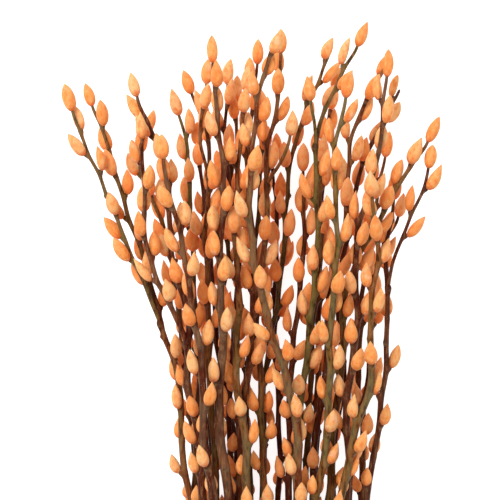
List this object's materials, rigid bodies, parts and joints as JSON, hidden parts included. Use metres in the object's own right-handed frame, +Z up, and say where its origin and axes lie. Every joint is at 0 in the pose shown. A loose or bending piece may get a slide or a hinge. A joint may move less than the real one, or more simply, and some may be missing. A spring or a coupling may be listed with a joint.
{
  "type": "willow stems",
  "caption": "Tied bunch of pussy willow stems lying on its side, with pointed orange catkins set alternately along the upper part of each stem.",
  "frame": {"origin": "middle of the band's flat underside, on the surface that the bunch lies on", "axes": "+Y along the stems from the band to the tips, +X across the bunch, +Z up from the surface"},
  "size_m": [0.2444, 0.7096, 0.1084],
  "materials": {
    "bark": "smooth thin willow bark with a faint sheen, dark purple brown to olive",
    "catkin": "matte dyed down, orange with paler patches",
    "rubber": "plain tan natural rubber"
  },
  "bodies": {
    "root": {"stem_01": "bark", "stem_02": "bark", "stem_03": "bark", "stem_04": "bark", "stem_05": "bark", "stem_06": "bark", "stem_07": "bark", "stem_08": "bark", "stem_09": "bark", "stem_10": "bark", "stem_11": "bark", "stem_12": "bark", "stem_13": "bark", "stem_14": "bark", "stem_15": "bark", "stem_16": "bark", "stem_17": "bark", "stem_18": "bark", "stem_19": "bark", "stem_20": "bark", "stem_21": "bark", "stem_22": "bark", "stem_23": "bark", "stem_24": "bark", "stem_25": "bark", "stem_26": "bark", "stem_27": "bark", "stem_28": "bark", "stem_29": "bark", "stem_30": "bark", "rubber_band": "rubber"}
  },
  "joints": []
}
